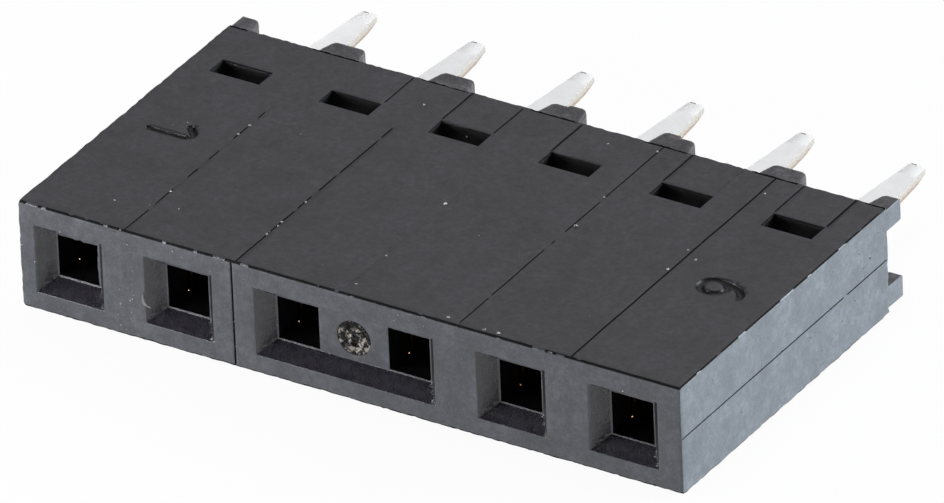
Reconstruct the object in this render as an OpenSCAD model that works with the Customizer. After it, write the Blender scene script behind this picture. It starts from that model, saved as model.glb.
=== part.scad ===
// Female header strip, one row, for square posts, with flat tails for a circuit board.
// X runs along the row, +Y from the mating face to the tails, +Z out of the wide face.
// The origin is the middle of the footprint, at the underside.

/* [Strip] */
// Number of ways in the row
ways = 6; // [4:1:12]
// Distance from one way to the next
pitch = 2.54; // [2.4:0.02:4]
// Distance from the last way's centre to the end face
end_margin = 1.22; // [1.1:0.02:2]
// Depth of the housing from the mating face to the rear face
body_depth = 7.78; // [7:0.02:12]
// Height of the housing between its two wide faces
body_height = 2.4; // [2.2:0.02:3.6]
// Small bevel along the edges of the two wide faces
edge_bevel = 0.03; // [0.01:0.01:0.08]
// How far the row of ways sits off the middle of the housing
row_shift = -0.1; // [-0.1:0.02:0.1]
// How far the pins' axis lies below the middle of the housing's height
axis_drop = 0.03; // [0:0.01:0.08]

/* [Pin entries] */
// Width of a lead-in at the mating face
funnel_w = 1.58; // [1.3:0.02:1.8]
// Height of a lead-in at the mating face
funnel_h = 1.52; // [1.3:0.02:1.8]
// Depth of the lead-in's slope
funnel_depth = 0.36; // [0.2:0.02:0.5]
// Width of the square pin hole
hole_w = 0.95; // [0.8:0.01:1.04]
// Flat land between the slope and the hole
land_w = 0.03; // [0.02:0.01:0.08]
// Depth at which the pin hole opens into the contact cavity
throat_depth = 1.04; // [0.8:0.02:1.2]
// First of the two ways that share one lead-in
shared_way = 3; // [1:1:3]
// Diameter of the mark that the gate left in the shared lead-in
gate_d = 0.76; // [0.5:0.02:0.9]
// Depth of that mark
gate_depth = 0.04; // [0.02:0.01:0.08]

/* [Contact cavities] */
// Width of a contact cavity
cavity_w = 1.3; // [1.2:0.02:1.3]
// Height of a contact cavity
cavity_h = 1.3; // [1.2:0.02:1.5]
// Width of the lock window in the wide face
window_w = 1.12; // [0.8:0.02:1.12]
// How far the lock window sits off the axis of its way
window_shift = 0.08; // [-0.08:0.02:0.08]
// Length of the lock window from front to rear
window_l = 0.47; // [0.36:0.01:0.7]
// Distance from the window's rear wall to the housing's rear face
window_back = 1.26; // [1.1:0.02:1.8]

/* [Standoffs] */
// Width of a rear standoff where it leaves the housing
standoff_w = 1.02; // [0.8:0.02:1.02]
// Width of a rear standoff at its seating end
standoff_tip_w = 0.74; // [0.5:0.02:0.8]
// How far the standoffs reach behind the rear face
standoff_len = 0.53; // [0.3:0.01:0.8]
// Height of a standoff
standoff_h = 0.5; // [0.3:0.02:0.7]
// Step from the upper wide face down to the upper standoffs
upper_inset = 0.05; // [0.02:0.01:0.15]
// Step from the underside up to the lower standoffs
lower_inset = 0.12; // [0.02:0.01:0.15]

/* [Contacts] */
// Thickness of the contact sheet
sheet_t = 0.2; // [0.15:0.01:0.22]
// Clearance between a contact and its cavity
contact_clear = 0.04; // [0.02:0.01:0.06]
// Inside radius of the folds
fold_r = 0.06; // [0.04:0.01:0.12]
// Distance from the mating face to the point where the beams grip the pin
grip_depth = 2; // [1.8:0.02:2.4]
// Gap between the two relaxed beams where they grip
grip_gap = 0.4; // [0.3:0.02:0.5]
// Gap between the beams at their flared tips
tip_gap = 0.78; // [0.7:0.02:0.8]
// Distance from the throat to the beam tips
tip_clear = 0.06; // [0.04:0.02:0.2]
// Roundness of the beams where they grip
grip_r = 0.9; // [0.5:0.1:1.4]
// Height of a beam at its root
beam_root_h = 1; // [0.8:0.02:1.1]
// Height of a beam where it grips
beam_grip_h = 0.7; // [0.5:0.02:0.8]
// Height of a beam at its tip
beam_tip_h = 1.04; // [0.6:0.02:1.1]
// Length of the tip that keeps its full height
beam_tip_len = 0.18; // [0.1:0.02:0.3]
// Length of a beam from its root at the folded box to its grip
beam_len = 1.86; // [1.5:0.02:2.2]
// Width of the locking lance
lance_w = 0.5; // [0.36:0.02:0.6]
// Length of the locking lance
lance_len = 1.1; // [0.8:0.05:1.6]
// Gap cut round the lance
lance_gap = 0.08; // [0.06:0.01:0.12]
// How far the lance stands above the cavity's ceiling
lance_catch = 0.19; // [0.1:0.01:0.24]
// Clearance at both ends of the raised lance in its window
lance_clear = 0.04; // [0.02:0.01:0.06]

/* [Tails] */
// Width of a tail between its shoulders and its taper
tail_w = 0.68; // [0.5:0.02:0.8]
// Width of a tail at its end
tail_tip_w = 0.32; // [0.2:0.02:0.4]
// Length of the taper
tail_taper_len = 1.7; // [1:0.05:2]
// Length of a tail beyond the seating plane
tail_len = 2.8; // [2.2:0.02:4]
// Corner chamfer at the tail's end
tail_chamfer = 0.05; // [0.02:0.01:0.08]
// Distance from the tail's shoulders to the rear face
shoulder_back = 0.1; // [0.06:0.02:0.2]
// Length of the shoulders
shoulder_len = 0.3; // [0.2:0.02:0.4]

/* [Hidden] */
$fn = 48;

cut = 0.1;
body_w = (ways - 1) * pitch + 2 * end_margin;
axis_z = body_height / 2 - axis_drop;
seat_y = body_depth + standoff_len;
tail_end_y = seat_y + tail_len;
origin_y = -tail_end_y / 2;

ceiling_z = axis_z + cavity_h / 2;
lock_y = body_depth - window_back;
window_y = lock_y - window_l;
gate_x = (way_x(shared_way) + way_x(shared_way + 1)) / 2;

contact_w = cavity_w - 2 * contact_clear;
flat_half = contact_w / 2 - fold_r - sheet_t;
roof_top_z = ceiling_z - contact_clear;
roof_z = roof_top_z - sheet_t;
wall_foot_z = axis_z - cavity_h / 2 + contact_clear;
lance_end_y = lock_y - lance_clear;
lance_root_y = lance_end_y - lance_len;
slot_rear_y = lance_end_y + lance_gap;
box_rear_y = slot_rear_y + sheet_t;
box_front_y = grip_depth + beam_len;
beam_root_x = (contact_w - sheet_t) / 2;
beam_grip_x = (grip_gap + sheet_t) / 2;
beam_tip_x = (tip_gap + sheet_t) / 2;
beam_tip_y = throat_depth + tip_clear;
roof_mid_z = roof_z + sheet_t / 2;
shoulder_y = body_depth - shoulder_back;
jog_end_y = shoulder_y - shoulder_len;
beam_steps = 9;
jog_steps = 12;

// Axis of a way, counted from 1 at the -X end
function way_x(way) = row_shift + (way - (ways + 1) / 2) * pitch;

// Square of the slope of a hyperbola that rises by lift over a run, rounded at its foot
function knee_slope2(lift, run) = lift * lift / (run * run - 2 * lift * grip_r);

// Height of that hyperbola at a distance s from its foot
function knee(lift, run, s) =
    let (slope2 = knee_slope2(lift, run), foot = grip_r * slope2)
    sqrt(slope2 * s * s + foot * foot) - foot;

// Smooth step from 0 to 1
function ease(u) = u * u * (3 - 2 * u);

// Outline of a bent strip: a path in its plane, thickened to both sides
function strip_normal(path, i) =
    let (a = path[max(i - 1, 0)], b = path[min(i + 1, len(path) - 1)], d = b - a)
    [-d.y, d.x] / norm(d);
function strip_side(path, offset) =
    [for (i = [0:len(path) - 1]) path[i] + offset * strip_normal(path, i)];
function reversed(points) = [for (i = [len(points) - 1:-1:0]) points[i]];
function strip(path, thickness) =
    concat(strip_side(path, thickness / 2), reversed(strip_side(path, -thickness / 2)));

// Extrusions along each axis; the outline is given in the other two axes, in X, Y, Z order
module along_x(from, to) {
    translate([from, 0, 0]) rotate([90, 0, 90]) linear_extrude(to - from) children();
}
module along_y(from, to) {
    translate([0, to, 0]) rotate([90, 0, 0]) linear_extrude(to - from) children();
}
module along_z(from, to) {
    translate([0, 0, from]) linear_extrude(to - from) children();
}

// Block between two corners
module block(low, high) {
    translate(low) cube(high - low);
}

// Housing

// Bevelled end section of the body, seen along X
module body_section() {
    polygon([
        [edge_bevel, 0], [body_depth - edge_bevel, 0],
        [body_depth, edge_bevel], [body_depth, body_height - edge_bevel],
        [body_depth - edge_bevel, body_height], [edge_bevel, body_height],
        [0, body_height - edge_bevel], [0, edge_bevel]
    ]);
}

// One row of tapered standoffs, centred on the gaps between ways, with halves at the ends
module standoff_row(low_z) {
    intersection() {
        along_z(low_z, low_z + standoff_h)
            for (gap = [0:ways]) {
                gap_x = (gap - ways / 2) * pitch;
                // The end ones are cut in half at the end faces
                at_x = gap == 0 ? -body_w / 2 : gap == ways ? body_w / 2 : gap_x;
                polygon([
                    [at_x - standoff_w / 2, body_depth - cut], [at_x + standoff_w / 2, body_depth - cut],
                    [at_x + standoff_w / 2, body_depth], [at_x + standoff_tip_w / 2, seat_y],
                    [at_x - standoff_tip_w / 2, seat_y], [at_x - standoff_w / 2, body_depth]
                ]);
            }
        block([-body_w / 2, 0, 0], [body_w / 2, seat_y, body_height]);
    }
}

// Four-sided lead-in over the ways from first to last, sloping from the face to the land
module lead_in(first, last) {
    floor_half = hole_w / 2 + land_w;
    flare = cut / funnel_depth;
    side_half = funnel_w / 2 + flare * (funnel_w / 2 - floor_half);
    top_half = funnel_h / 2 + flare * (funnel_h / 2 - floor_half);
    left = way_x(first);
    right = way_x(last);
    intersection() {
        along_z(0, body_height)
            polygon([
                [left - side_half, -cut], [right + side_half, -cut],
                [right + floor_half, funnel_depth], [left - floor_half, funnel_depth]
            ]);
        along_x(-body_w, body_w)
            polygon([
                [-cut, axis_z - top_half], [funnel_depth, axis_z - floor_half],
                [funnel_depth, axis_z + floor_half], [-cut, axis_z + top_half]
            ]);
    }
}

// Pin hole, contact cavity and lock window of one way
module way_core(way) {
    translate([way_x(way), 0, 0]) {
        block([-hole_w / 2, 0, axis_z - hole_w / 2], [hole_w / 2, throat_depth + cut, axis_z + hole_w / 2]);
        block([-cavity_w / 2, throat_depth, axis_z - cavity_h / 2], [cavity_w / 2, body_depth + cut, ceiling_z]);
        translate([window_shift, 0, 0])
            block([-window_w / 2, window_y, axis_z], [window_w / 2, lock_y, body_height + cut]);
    }
}

// Round mark that the moulding gate left on the floor of the shared lead-in
module gate_mark() {
    translate([gate_x, funnel_depth + gate_depth, axis_z])
        rotate([90, 0, 0]) cylinder(d = gate_d, h = gate_depth + cut);
}

module housing() {
    color([0.22, 0.22, 0.24])
        translate([0, origin_y, 0])
            difference() {
                union() {
                    along_x(-body_w / 2, body_w / 2) body_section();
                    standoff_row(lower_inset);
                    standoff_row(body_height - upper_inset - standoff_h);
                }
                for (way = [1:ways]) {
                    way_core(way);
                    if (way != shared_way && way != shared_way + 1)
                        lead_in(way, way);
                }
                lead_in(shared_way, shared_way + 1);
                gate_mark();
            }
}

// Contact

// Solid cross-section of the folded box: flat foot, two round upper corners
module fold_outline(width, top_z, corner_r) {
    translate([-width / 2, wall_foot_z]) square([width, top_z - corner_r - wall_foot_z]);
    translate([corner_r - width / 2, wall_foot_z])
        square([width - 2 * corner_r, top_z - wall_foot_z]);
    for (side = [-1, 1])
        translate([side * (width / 2 - corner_r), top_z - corner_r]) circle(r = corner_r);
}

// Roof and two side walls, folded from one sheet, with the lance cut free in the roof
module contact_box() {
    difference() {
        along_y(box_front_y, box_rear_y)
            fold_outline(contact_w, roof_top_z, fold_r + sheet_t);
        along_y(box_front_y - cut, box_rear_y + cut)
            translate([0, -cut]) fold_outline(contact_w - 2 * sheet_t, roof_z + cut, fold_r);
        lance_slot();
    }
}

// Slot that frees the lance on three sides
module lance_slot() {
    half = lance_w / 2 + lance_gap;
    block([-half, lance_root_y, roof_z - cut], [half, slot_rear_y, roof_top_z + cut]);
}

// Lance: in the roof's plane at its root, bent up through the window at its free end
module lance() {
    bend_y = window_y + lance_clear;
    lance_top_z = ceiling_z + lance_catch;
    along_x(-lance_w / 2, lance_w / 2)
        polygon([
            [lance_root_y - cut, roof_z], [bend_y, roof_z],
            [lance_end_y, lance_top_z - sheet_t], [lance_end_y, lance_top_z],
            [bend_y, roof_top_z], [lance_root_y - cut, roof_top_z]
        ]);
}

// Middle line of the +X beam in plan, from inside the box to the flared tip
function beam_path() =
    let (run_back = box_front_y - grip_depth, run_tip = grip_depth - beam_tip_y)
    concat(
        [[beam_root_x, box_front_y + cut]],
        [for (i = [beam_steps:-1:1])
            let (s = run_back * pow(i / beam_steps, 2))
            [beam_grip_x + knee(beam_root_x - beam_grip_x, run_back, s), grip_depth + s]],
        [for (i = [0:beam_steps])
            let (s = run_tip * pow(i / beam_steps, 2))
            [beam_grip_x + knee(beam_tip_x - beam_grip_x, run_tip, s), grip_depth - s]]
    );

// Side view of a beam: tall at its root, slim where it grips, and a taller flared tip
module beam_outline() {
    polygon([
        [box_front_y + cut, axis_z - beam_root_h / 2], [box_front_y + cut, axis_z + beam_root_h / 2],
        [box_front_y, axis_z + beam_root_h / 2], [grip_depth, axis_z + beam_grip_h / 2],
        [beam_tip_y + beam_tip_len, axis_z + beam_tip_h / 2], [beam_tip_y, axis_z + beam_tip_h / 2],
        [beam_tip_y, axis_z - beam_tip_h / 2], [beam_tip_y + beam_tip_len, axis_z - beam_tip_h / 2],
        [grip_depth, axis_z - beam_grip_h / 2], [box_front_y, axis_z - beam_root_h / 2]
    ]);
}

// The two beams that grip the pin from its sides
module beams() {
    for (side = [0, 1])
        mirror([side, 0, 0])
            intersection() {
                along_z(0, body_height) polygon(strip(beam_path(), sheet_t));
                along_x(0, contact_w / 2) beam_outline();
            }
}

// Middle line of roof, jog and tail, seen from the side
function tail_path() =
    concat(
        [[box_rear_y - cut, roof_mid_z]],
        [for (i = [0:jog_steps])
            let (u = i / jog_steps)
            [box_rear_y + u * (jog_end_y - box_rear_y), roof_mid_z + ease(u) * (axis_z - roof_mid_z)]],
        [[tail_end_y, axis_z]]
    );

// Plan of the jog, the shoulders and the tapered tail
module tail_plan() {
    taper_y = tail_end_y - tail_taper_len;
    for (side = [0, 1])
        mirror([side, 0, 0])
            polygon([
                [0, box_rear_y - cut], [flat_half, box_rear_y - cut], [flat_half, jog_end_y],
                [contact_w / 2, jog_end_y + tail_chamfer], [contact_w / 2, shoulder_y],
                [tail_w / 2, shoulder_y], [tail_w / 2, taper_y],
                [tail_tip_w / 2, tail_end_y - tail_chamfer],
                [tail_tip_w / 2 - tail_chamfer, tail_end_y], [0, tail_end_y]
            ]);
}

module tail() {
    intersection() {
        along_x(-contact_w / 2, contact_w / 2) polygon(strip(tail_path(), sheet_t));
        along_z(0, body_height) tail_plan();
    }
}

module contact(way) {
    color([0.82, 0.8, 0.76])
        translate([way_x(way), origin_y, 0]) {
            contact_box();
            lance();
            beams();
            tail();
        }
}

housing();
for (way = [1:ways])
    contact(way);
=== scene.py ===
"""Looks of a female pin header strip: a moulded housing with six formed contacts.

Meshes are made in millimetres in the row frame, +X along the row, +Y towards the tails and +Z out of
the wide face with the windows, and are brought to metres as their last step.
"""

import logging
import math
import random
from dataclasses import dataclass, field
from enum import Enum

import bmesh
import bpy
from mathutils import Matrix, Vector, noise


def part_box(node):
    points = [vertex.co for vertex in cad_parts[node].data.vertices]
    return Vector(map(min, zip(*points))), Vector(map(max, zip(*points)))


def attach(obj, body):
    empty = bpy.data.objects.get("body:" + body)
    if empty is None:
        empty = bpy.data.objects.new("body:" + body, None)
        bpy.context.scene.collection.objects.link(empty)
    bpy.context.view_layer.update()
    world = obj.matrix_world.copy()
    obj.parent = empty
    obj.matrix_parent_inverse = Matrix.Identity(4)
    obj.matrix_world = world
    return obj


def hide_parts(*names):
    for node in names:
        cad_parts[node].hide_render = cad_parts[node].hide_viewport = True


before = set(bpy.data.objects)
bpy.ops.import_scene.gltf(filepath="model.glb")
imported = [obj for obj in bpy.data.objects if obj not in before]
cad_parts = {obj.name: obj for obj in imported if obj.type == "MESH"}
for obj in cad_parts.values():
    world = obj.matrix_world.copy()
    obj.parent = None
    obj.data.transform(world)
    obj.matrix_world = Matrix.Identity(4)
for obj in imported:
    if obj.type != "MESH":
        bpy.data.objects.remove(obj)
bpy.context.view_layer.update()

log = logging.getLogger("header_strip")

Colour = tuple[float, float, float, float]
Place = tuple[float, float, float]
Material = bpy.types.Material
Mesh = bmesh.types.BMesh
Piece = bpy.types.Object
Socket = bpy.types.NodeSocket

# One millimetre in metres, the number of sockets, their distance in mm, and the distance in mm below
# which two places count as one.
MM = 0.001
WAYS = 6
PITCH = 2.54
HAIR = 0.001
WHITE: Colour = (1.0, 1.0, 1.0, 1.0)


def bay_x(way: int) -> float:
    """Middle of a way's bay in the housing, in mm."""
    return (way - (WAYS + 1) / 2) * PITCH


def gap_x(number: int) -> float:
    """Joint behind so many bays, counted from the left end, in mm."""
    return (number - WAYS / 2) * PITCH


def ripple(x: float, y: float, z: float) -> float:
    """Gives a smooth chance value from -1 to 1 for a place."""
    return noise.noise(Vector((x, y, z)))


def clamp(share: float) -> float:
    """Keeps a share from 0 to 1."""
    return min(max(share, 0.0), 1.0)


def angles(start: float, end: float, steps: int) -> list[float]:
    """Lists evenly spaced angles in radians, both ends among them; the ends are in degrees."""
    return [math.radians(start + (end - start) * i / steps) for i in range(steps + 1)]


def frame_box(node: str) -> tuple[Vector, Vector]:
    """Lowest and highest corners of a CAD node, in metres."""
    low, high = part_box(node)
    return Vector(low), Vector(high)


def linear(red: int, green: int, blue: int) -> Colour:
    """Turns a colour in 0 to 255 display values into the linear values that shaders take.

    Args:
        red: Red display value.
        green: Green display value.
        blue: Blue display value.

    Returns:
        Linear red, green and blue, and an alpha of 1.
    """
    channels = [value / 255 for value in (red, green, blue)]
    return (*[c / 12.92 if c <= 0.04045 else ((c + 0.055) / 1.055) ** 2.4 for c in channels], 1.0)


class NodeDesk:
    """Adds and links the nodes of one material or world."""

    def __init__(self, tree: bpy.types.NodeTree) -> None:
        """Clears the tree and keeps it."""
        self.tree = tree
        tree.nodes.clear()

    def add(self, kind: str, inputs: dict[str, object] | None = None, **settings: object) -> bpy.types.Node:
        """Adds a node.

        Args:
            kind: The node's Blender type.
            inputs: Socket name to a constant, or to the output socket that feeds it.
            **settings: Attributes of the node itself.

        Returns:
            The new node.
        """
        node = self.tree.nodes.new(kind)
        for name, value in settings.items():
            setattr(node, name, value)
        for name, value in (inputs or {}).items():
            socket = node.inputs[int(name)] if name.isdigit() else node.inputs[name]
            if isinstance(value, Socket):
                self.tree.links.new(value, socket)
            else:
                socket.default_value = value
        return node

    def millimetres(self) -> Socket:
        """Gives the object's own coordinates in millimetres."""
        place = {"0": self.add("ShaderNodeTexCoord").outputs["Object"], "Scale": 1 / MM}
        return self.add("ShaderNodeVectorMath", place, operation="SCALE").outputs["Vector"]

    def stretched(self, place: Socket, scale: Place) -> Socket:
        """Scales coordinates along each axis."""
        return self.add("ShaderNodeMapping", {"Vector": place, "Scale": scale}).outputs["Vector"]

    def sum_up(self, operation: str, first: Socket, second: object) -> Socket:
        """Works two values into one by the named operation."""
        return self.add("ShaderNodeMath", {"0": first, "1": second}, operation=operation).outputs[0]

    def grain(self, place: Socket, scale: float, detail: float = 3.0,
              roughness: float = 0.55, distortion: float = 0.0) -> Socket:
        """Adds a noise and gives its factor.

        Args:
            place: Coordinates, in mm.
            scale: Features per mm.
            detail: Octaves of the noise.
            roughness: How strong the finer octaves are.
            distortion: How far the noise is bent.

        Returns:
            The factor socket of the noise.
        """
        inputs = {"Vector": place, "Scale": scale, "Detail": detail,
                  "Roughness": roughness, "Distortion": distortion}
        return self.add("ShaderNodeTexNoise", inputs).outputs["Fac"]

    def ramp(self, factor: Socket, stops: list[tuple[float, Colour]]) -> Socket:
        """Adds a colour ramp and gives its colour.

        Args:
            factor: What drives the ramp.
            stops: Positions from 0 to 1 with their colours.

        Returns:
            The colour socket of the ramp.
        """
        made = self.add("ShaderNodeValToRGB", {"Fac": factor})
        elements = made.color_ramp.elements
        while len(elements) < len(stops):
            elements.new(0.5)
        for element, (position, colour) in zip(elements, stops):
            element.position = position
            element.color = colour
        return made.outputs["Color"]

    def spread(self, factor: Socket, low: float, high: float, start: float = 0.3, end: float = 0.7) -> Socket:
        """Maps a noise factor to a range of values.

        Args:
            factor: The noise factor.
            low: Value at start.
            high: Value at end.
            start: Factor that gives the low value.
            end: Factor that gives the high value.

        Returns:
            The mapped value's socket.
        """
        inputs = {"Value": factor, "From Min": start, "From Max": end, "To Min": low, "To Max": high}
        return self.add("ShaderNodeMapRange", inputs).outputs["Result"]

    def mix(self, share: object, first: object, second: object) -> Socket:
        """Mixes two colours by the share of the second; each may be a socket."""
        inputs = {"0": share, "6": first, "7": second}
        return self.add("ShaderNodeMix", inputs, data_type="RGBA").outputs[2]

    def bump(self, height: Socket, depth: float, below: Socket | None = None) -> Socket:
        """Adds a bump.

        Args:
            height: The height's socket, from 0 to 1.
            depth: What a height of 1 means, in mm.
            below: Normal of a coarser bump that this one goes on.

        Returns:
            The normal's socket.
        """
        inputs = {"Height": height, "Distance": depth * MM, "Strength": 1.0}
        if below is not None:
            inputs["Normal"] = below
        return self.add("ShaderNodeBump", inputs).outputs["Normal"]

    def surface(self, inputs: dict[str, object]) -> bpy.types.Node:
        """Adds a solid surface's shader."""
        return self.add("ShaderNodeBsdfPrincipled", inputs)

    def close(self, shader: bpy.types.Node) -> None:
        """Links the last shader to the output."""
        kind = "ShaderNodeOutputWorld" if shader.type == "BACKGROUND" else "ShaderNodeOutputMaterial"
        self.add(kind, {"Surface": shader.outputs[0]})


class Skin(Enum):
    """Copies of the one black plastic, lighter or darker by face as painted light and painted shade: the
    mating face and the ends are painted lighter, the lead-ins darker, and the holes, cavities, lead-in right
    walls, grooves, edge stretches, window rims and standoff steps near-black; the standoffs are mottled up to
    a lighter grey. The value is the material's place.
    """

    WIDE = 0
    MATING = 1
    END = 2
    LEAD = 3
    CORE = 4
    STANDOFF = 5
    GROOVE = 6


class Zone(Enum):
    """Surfaces of a contact; the value is the material's place."""

    TIN = 0
    SHEAR = 1
    GOLD = 2
    CUT = 3
    # A bead of lighter gold that the glint lamp makes a bright spot on: partly a painted highlight.
    RUBBED = 4


@dataclass(frozen=True)
class Finish:
    """A named finish; each kind adds its own nodes."""

    name: str

    def dress(self, desk: NodeDesk) -> bpy.types.Node:
        """Adds the nodes and gives the last shader; each kind of finish has its own."""
        raise NotImplementedError

    def build(self) -> Material:
        """Makes the material.

        Returns:
            The finished material.
        """
        material = bpy.data.materials.new(self.name)
        material.use_nodes = True
        desk = NodeDesk(material.node_tree)
        desk.close(self.dress(desk))
        return material


@dataclass(frozen=True)
class Plastic(Finish):
    """Black glass-filled moulding with a satin skin, faint flow marks and stray fibre ends.

    Scales are features per mm and depths are in mm.
    """

    dark: Colour
    light: Colour
    roughness: float
    specular: float
    fleck_share: float = 0.35
    fleck: Colour = linear(128, 130, 134)
    sink_scale: float = 1.1
    cloud_scale: float = 1.5
    patch_scale: float = 3.1
    gloss_scale: float = 5.0
    mottle_scale: float = 8.0
    fleck_scale: float = 9.0
    fine_scale: float = 26.0
    sink_depth: float = 0.012
    mottle_depth: float = 0.008
    fine_depth: float = 0.004

    def dress(self, desk: NodeDesk) -> bpy.types.Node:
        """Adds the moulded skin's nodes.

        Args:
            desk: Takes the nodes.

        Returns:
            The shader.
        """
        place = desk.millimetres()
        cloud = desk.grain(place, self.cloud_scale, 5.0, 0.7)
        mottle = desk.grain(place, self.mottle_scale, 4.0, 0.7)
        fine = desk.grain(place, self.fine_scale, 3.0, 0.6)
        tone = desk.mix(desk.spread(cloud, 0.0, 1.0, 0.35, 0.65), self.dark, self.light)
        tone = desk.mix(desk.spread(mottle, 0.0, 0.8, 0.38, 0.6), tone, self.dark)
        tone = desk.mix(desk.spread(fine, 0.0, 0.5, 0.5, 0.68), tone, self.light)
        cells = desk.add("ShaderNodeTexVoronoi", {"Vector": place, "Scale": self.fleck_scale}, feature="F1")
        fleck = desk.spread(cells.outputs["Distance"], 1.0, 0.0, 0.06, 0.13)
        patch = desk.spread(desk.grain(place, self.patch_scale, 2.0), 0.0, self.fleck_share, 0.56, 0.66)
        tone = desk.mix(desk.sum_up("MULTIPLY", fleck, patch), tone, self.fleck)
        gloss = desk.grain(place, self.gloss_scale, 4.0, 0.7)
        rough = desk.spread(gloss, self.roughness - 0.07, self.roughness + 0.1)
        skin = desk.bump(desk.grain(place, self.sink_scale, 2.0), self.sink_depth)
        skin = desk.bump(mottle, self.mottle_depth, skin)
        skin = desk.bump(fine, self.fine_depth, skin)
        return desk.surface({"Base Color": tone, "Roughness": rough, "Normal": skin,
                             "Specular IOR Level": self.specular})


@dataclass(frozen=True)
class Metal(Finish):
    """Sheet metal surface: its colour drifts a little and its rolling lines show in the gloss.

    Scales are features per mm and the depth is in mm.
    """

    colour: Colour
    stain: Colour
    roughness: float
    metallic: float
    line_scale: Place = (18.0, 1.2, 18.0)
    cloud_scale: float = 2.3
    depth: float = 0.003

    def dress(self, desk: NodeDesk) -> bpy.types.Node:
        """Adds the rolled sheet's nodes.

        Args:
            desk: Takes the nodes.

        Returns:
            The shader.
        """
        place = desk.millimetres()
        lines = desk.grain(desk.stretched(place, self.line_scale), 1.0, 4.0, 0.6)
        cloud = desk.grain(place, self.cloud_scale, 4.0, 0.6)
        tone = desk.mix(desk.spread(cloud, 0.0, 0.8, 0.4, 0.75), self.colour, self.stain)
        rough = desk.spread(lines, self.roughness - 0.06, self.roughness + 0.1)
        skin = desk.bump(lines, self.depth, desk.bump(cloud, self.depth * 2))
        return desk.surface({"Base Color": tone, "Roughness": rough, "Normal": skin,
                             "Metallic": self.metallic})


@dataclass(frozen=True)
class ShearedEdge(Finish):
    """Stamped edge of the plated sheet: tin is drawn over its upper part and bare metal shows below.

    Its heights and places are in mm in the row frame, and its scales are features per mm.
    """

    name: str = "sheared_edge"
    plate: Colour = linear(192, 188, 181)
    bare: Colour = linear(176, 152, 134)
    root: Colour = linear(222, 166, 146)
    drawn_to: float = 1.12
    ragged: float = 0.03
    ragged_scale: float = 6.0
    root_from: float = 2.8
    root_to: float = 3.5
    line_scale: Place = (14.0, 14.0, 2.0)
    depth: float = 0.004
    metallic: float = 0.3

    def dress(self, desk: NodeDesk) -> bpy.types.Node:
        """Adds the stamped edge's nodes.

        Args:
            desk: Takes the nodes.

        Returns:
            The shader.
        """
        place = desk.millimetres()
        split = desk.add("ShaderNodeSeparateXYZ", {"Vector": place}).outputs
        ragged = desk.spread(desk.grain(place, self.ragged_scale, 4.0, 0.6), -self.ragged, self.ragged)
        level = desk.sum_up("ADD", split["Z"], ragged)
        torn = desk.spread(level, 1.0, 0.0, self.drawn_to - 0.012, self.drawn_to + 0.03)
        near_root = desk.spread(split["Y"], 1.0, 0.0, self.root_from, self.root_to)
        tone = desk.mix(torn, self.plate, desk.mix(near_root, self.bare, self.root))
        lines = desk.grain(desk.stretched(place, self.line_scale), 1.0)
        return desk.surface({"Base Color": tone, "Roughness": desk.spread(lines, 0.35, 0.5),
                             "Normal": desk.bump(lines, self.depth), "Metallic": self.metallic})


@dataclass(frozen=True)
class TornPlastic(Finish):
    """Torn gate: black resin with pale glass and bright broken facets."""

    name: str = "plastic_torn_gate"
    dark: Colour = linear(8, 8, 8)
    grey: Colour = linear(70, 67, 65)
    pale: Colour = linear(164, 157, 150)
    patch_scale: float = 8.0
    fine_scale: float = 16.0
    depth: float = 0.02
    roughness: float = 0.6
    specular: float = 0.15

    def dress(self, desk: NodeDesk) -> bpy.types.Node:
        """Adds the torn resin's nodes.

        Args:
            desk: Takes the nodes.

        Returns:
            The shader.
        """
        place = desk.millimetres()
        patch = desk.grain(place, self.patch_scale, 4.0, 0.7, 0.6)
        tone = desk.ramp(patch, [(0.0, self.dark), (0.48, self.dark), (0.53, self.grey), (0.6, self.pale)])
        skin = desk.bump(desk.grain(place, self.fine_scale, 3.0), self.depth)
        return desk.surface({"Base Color": tone, "Normal": skin, "Roughness": self.roughness,
                             "Specular IOR Level": self.specular})


@dataclass(frozen=True)
class Lint(Finish):
    """Pale dust and fibre ends, uneven in tone."""

    name: str = "pale_dust"
    pale: Colour = linear(190, 188, 185)
    grey: Colour = linear(120, 118, 116)
    patch_scale: float = 1.7
    roughness: float = 0.7

    def dress(self, desk: NodeDesk) -> bpy.types.Node:
        """Adds the dust's nodes.

        Args:
            desk: Takes the nodes.

        Returns:
            The shader.
        """
        patch = desk.grain(desk.millimetres(), self.patch_scale, 2.0)
        tone = desk.mix(desk.spread(patch, 0.0, 1.0, 0.4, 0.6), self.grey, self.pale)
        return desk.surface({"Base Color": tone, "Roughness": self.roughness})


@dataclass(frozen=True)
class GroundPaper(Finish):
    """White to the camera and in reflections, with the part's own soft shadow."""

    name: str = "ground_paper"
    paper: Colour = (0.6, 0.6, 0.6, 1.0)
    paper_share: float = 0.06
    speck_scale: float = 0.4

    def dress(self, desk: NodeDesk) -> bpy.types.Node:
        """Adds the paper's nodes.

        Args:
            desk: Takes the nodes.

        Returns:
            The shader.
        """
        path = desk.add("ShaderNodeLightPath").outputs
        seen = desk.sum_up("MAXIMUM", path["Is Camera Ray"], path["Is Glossy Ray"])
        seen = desk.sum_up("MAXIMUM", seen, path["Is Transmission Ray"])
        speck = desk.spread(desk.grain(desk.millimetres(), self.speck_scale), 0.78, 0.82)
        paper = desk.add("ShaderNodeBsdfDiffuse", {"Color": desk.mix(speck, self.paper, WHITE)})
        white = desk.add("ShaderNodeEmission", {"Strength": 1.0})
        share = desk.sum_up("MULTIPLY", seen, 1 - self.paper_share)
        return desk.add("ShaderNodeMixShader", {"0": share, "1": paper.outputs[0], "2": white.outputs[0]})


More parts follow.
